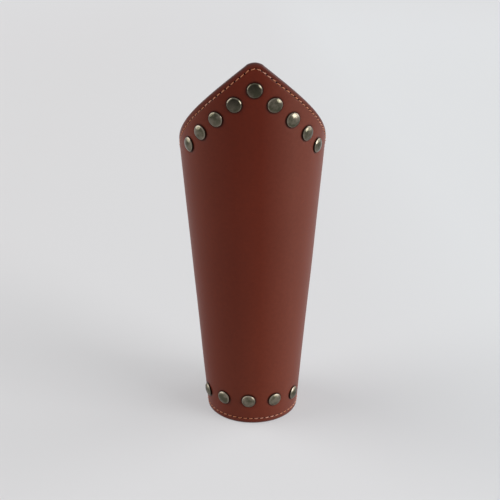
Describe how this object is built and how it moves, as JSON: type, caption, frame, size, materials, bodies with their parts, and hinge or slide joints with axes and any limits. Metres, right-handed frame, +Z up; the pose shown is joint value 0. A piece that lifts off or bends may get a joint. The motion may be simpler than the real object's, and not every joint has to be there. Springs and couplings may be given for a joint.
{
  "type": "leather bracer",
  "caption": "Tapered leather forearm guard with a pointed elbow end, domed cap rivets, and buckled straps across a slit at the back.",
  "frame": {"origin": "the sleeve's axis at the level of the wrist rim, which is the foot it stands on", "axes": "+Z up the sleeve's axis from wrist to elbow, -Y towards the point and the front, +Y towards the opening at the back"},
  "size_m": [0.0939, 0.1054, 0.25],
  "materials": {
    "face_leather": "smooth semi-gloss red-brown",
    "lining_leather": "matt tan suede",
    "strap_leather": "smooth semi-gloss dark red-brown",
    "rivet_metal": "antique gunmetal, polished",
    "buckle_metal": "antique gunmetal, polished",
    "thread": "waxed light orange-brown thread"
  },
  "bodies": {
    "sleeve": {"outer_leather": "face_leather", "lining": "lining_leather", "elbow_rivet_caps": "rivet_metal", "elbow_rivet_posts": "rivet_metal", "wrist_rivet_caps": "rivet_metal", "wrist_rivet_posts": "rivet_metal", "strap_rivet_caps": "rivet_metal", "strap_rivet_posts": "rivet_metal", "wrist_billet": "strap_leather", "wrist_chape": "strap_leather", "middle_billet": "strap_leather", "middle_chape": "strap_leather", "elbow_billet": "strap_leather", "elbow_chape": "strap_leather"},
    "wrist_keeper": {"wrist_keeper": "strap_leather"},
    "wrist_buckle_frame": {"wrist_buckle_frame": "buckle_metal"},
    "wrist_buckle_roller": {"wrist_buckle_roller": "buckle_metal"},
    "wrist_buckle_prong": {"wrist_buckle_prong": "buckle_metal"},
    "middle_keeper": {"middle_keeper": "strap_leather"},
    "middle_buckle_frame": {"middle_buckle_frame": "buckle_metal"},
    "middle_buckle_roller": {"middle_buckle_roller": "buckle_metal"},
    "middle_buckle_prong": {"middle_buckle_prong": "buckle_metal"},
    "elbow_keeper": {"elbow_keeper": "strap_leather"},
    "elbow_buckle_frame": {"elbow_buckle_frame": "buckle_metal"},
    "elbow_buckle_roller": {"elbow_buckle_roller": "buckle_metal"},
    "elbow_buckle_prong": {"elbow_buckle_prong": "buckle_metal"}
  },
  "joints": [
    {"name": "wrist_buckle_hinge", "type": "hinge", "parent": "sleeve", "child": "wrist_buckle_frame", "pos_m": [0.00974, 0.03551, 0.03279], "axis": [-0.021, -0.0765, -0.9968], "range_deg": [0, 8]},
    {"name": "wrist_prong_hinge", "type": "hinge", "parent": "wrist_buckle_frame", "child": "wrist_buckle_prong", "pos_m": [0.00974, 0.03551, 0.03279], "axis": [-0.021, -0.0765, -0.9968], "range_deg": [0, 12]},
    {"name": "wrist_roller_spin", "type": "hinge", "parent": "wrist_buckle_frame", "child": "wrist_buckle_roller", "pos_m": [-0.0029, 0.03854, 0.03283], "axis": [0.021, 0.0765, 0.9968], "continuous": true},
    {"name": "wrist_keeper_slide", "type": "hinge", "parent": "sleeve", "child": "wrist_keeper", "pos_m": [0, 0, 0.033], "axis": [0, 0, 1], "range_deg": [-3.6, 3.6]},
    {"name": "middle_buckle_hinge", "type": "hinge", "parent": "sleeve", "child": "middle_buckle_frame", "pos_m": [0.01094, 0.04034, 0.09529], "axis": [-0.0208, -0.0766, -0.9968], "range_deg": [0, 8]},
    {"name": "middle_prong_hinge", "type": "hinge", "parent": "middle_buckle_frame", "child": "middle_buckle_prong", "pos_m": [0.01094, 0.04034, 0.09529], "axis": [-0.0208, -0.0766, -0.9968], "range_deg": [0, 12]},
    {"name": "middle_roller_spin", "type": "hinge", "parent": "middle_buckle_frame", "child": "middle_buckle_roller", "pos_m": [-0.0016, 0.04376, 0.09529], "axis": [0.0208, 0.0766, 0.9968], "continuous": true},
    {"name": "middle_keeper_slide", "type": "hinge", "parent": "sleeve", "child": "middle_keeper", "pos_m": [0, 0, 0.0955], "axis": [0, 0, 1], "range_deg": [-3.2, 3.2]},
    {"name": "elbow_buckle_hinge", "type": "hinge", "parent": "sleeve", "child": "elbow_buckle_frame", "pos_m": [0.01213, 0.04517, 0.15779], "axis": [-0.0206, -0.0766, -0.9968], "range_deg": [0, 8]},
    {"name": "elbow_prong_hinge", "type": "hinge", "parent": "elbow_buckle_frame", "child": "elbow_buckle_prong", "pos_m": [0.01213, 0.04517, 0.15779], "axis": [-0.0206, -0.0766, -0.9968], "range_deg": [0, 12]},
    {"name": "elbow_roller_spin", "type": "hinge", "parent": "elbow_buckle_frame", "child": "elbow_buckle_roller", "pos_m": [-0.00031, 0.04891, 0.15776], "axis": [0.0206, 0.0766, 0.9968], "continuous": true},
    {"name": "elbow_keeper_slide", "type": "hinge", "parent": "sleeve", "child": "elbow_keeper", "pos_m": [0, 0, 0.158], "axis": [0, 0, 1], "range_deg": [-2.8, 2.8]}
  ]
}
